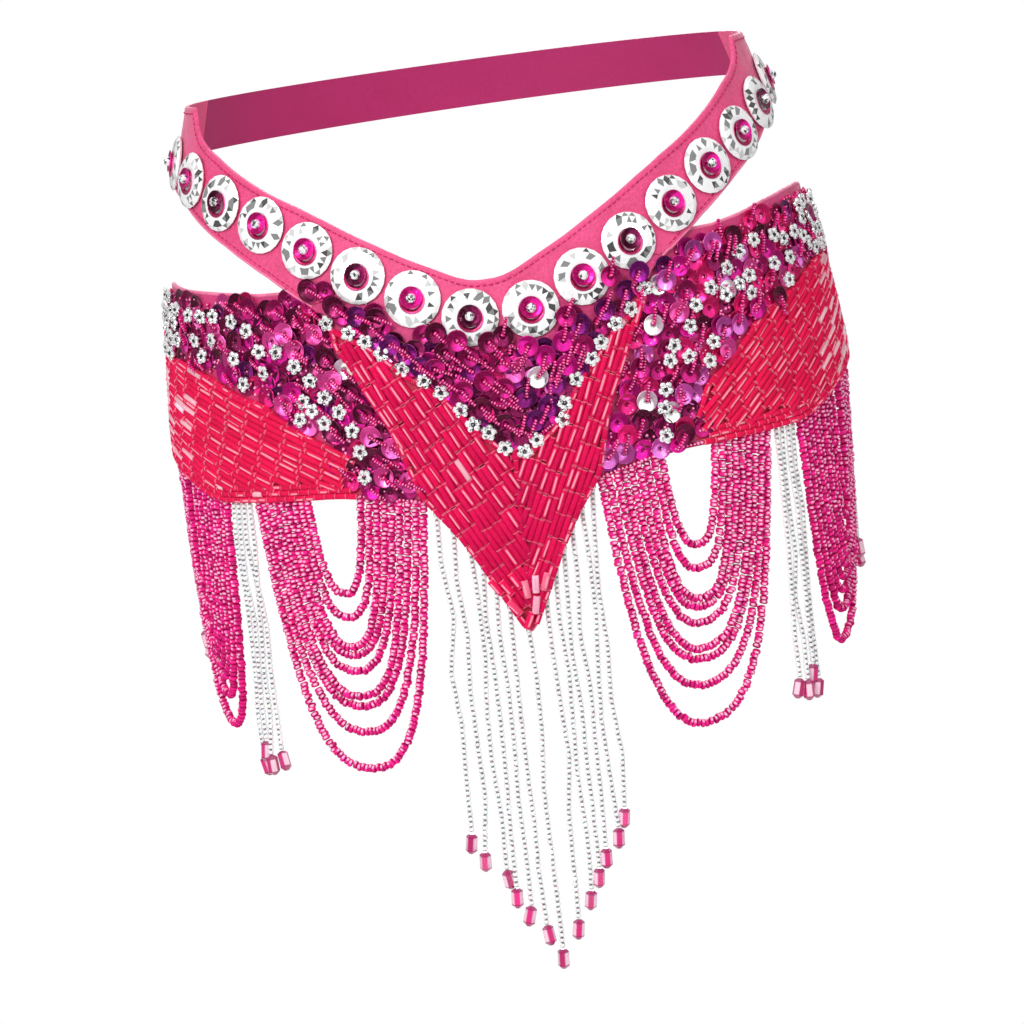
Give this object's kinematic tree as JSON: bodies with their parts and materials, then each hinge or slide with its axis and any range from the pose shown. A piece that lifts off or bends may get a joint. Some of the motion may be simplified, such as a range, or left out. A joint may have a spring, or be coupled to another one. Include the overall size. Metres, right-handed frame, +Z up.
{
  "type": "belly dance hip belt",
  "caption": "Worn beaded hip belt: V waistband with round coins, pointed centre panel, wrapped hip panels, looped and straight bead fringe.",
  "frame": {"origin": "middle of the hip hollow, level with the outermost coins at the wearer's sides", "axes": "+Z up, -Y is the front, +X is the wearer's left"},
  "size_m": [0.3566, 0.2579, 0.4575],
  "materials": {
    "satin": "bright pink satin",
    "strap_cloth": "matte magenta cloth",
    "beaded_cloth": "cloth covered with coral bugle beads and sequins",
    "coin_stone": "clear faceted stone with a silver back",
    "pink_bead": "hot pink seed beads",
    "clear_bead": "clear seed beads with a silver lining"
  },
  "bodies": {
    "root": {"front_band": "satin", "back_strap": "strap_cloth", "centre_panel": "beaded_cloth", "hip_panel_right": "beaded_cloth", "hip_panel_left": "beaded_cloth", "back_hip_strap": "strap_cloth", "coin_01": "coin_stone", "coin_02": "coin_stone", "coin_03": "coin_stone", "coin_04": "coin_stone", "coin_05": "coin_stone", "coin_06": "coin_stone", "coin_07": "coin_stone", "coin_08": "coin_stone", "coin_09": "coin_stone", "coin_10": "coin_stone", "coin_11": "coin_stone", "coin_12": "coin_stone", "coin_13": "coin_stone", "coin_14": "coin_stone", "coin_15": "coin_stone", "coin_16": "coin_stone", "front_loops_right": "pink_bead", "side_loops_right": "pink_bead", "side_strands_right": "clear_bead", "rear_strands_right": "clear_bead", "front_loops_left": "pink_bead", "side_loops_left": "pink_bead", "side_strands_left": "clear_bead", "rear_strands_left": "clear_bead", "centre_fringe": "clear_bead"}
  },
  "joints": []
}
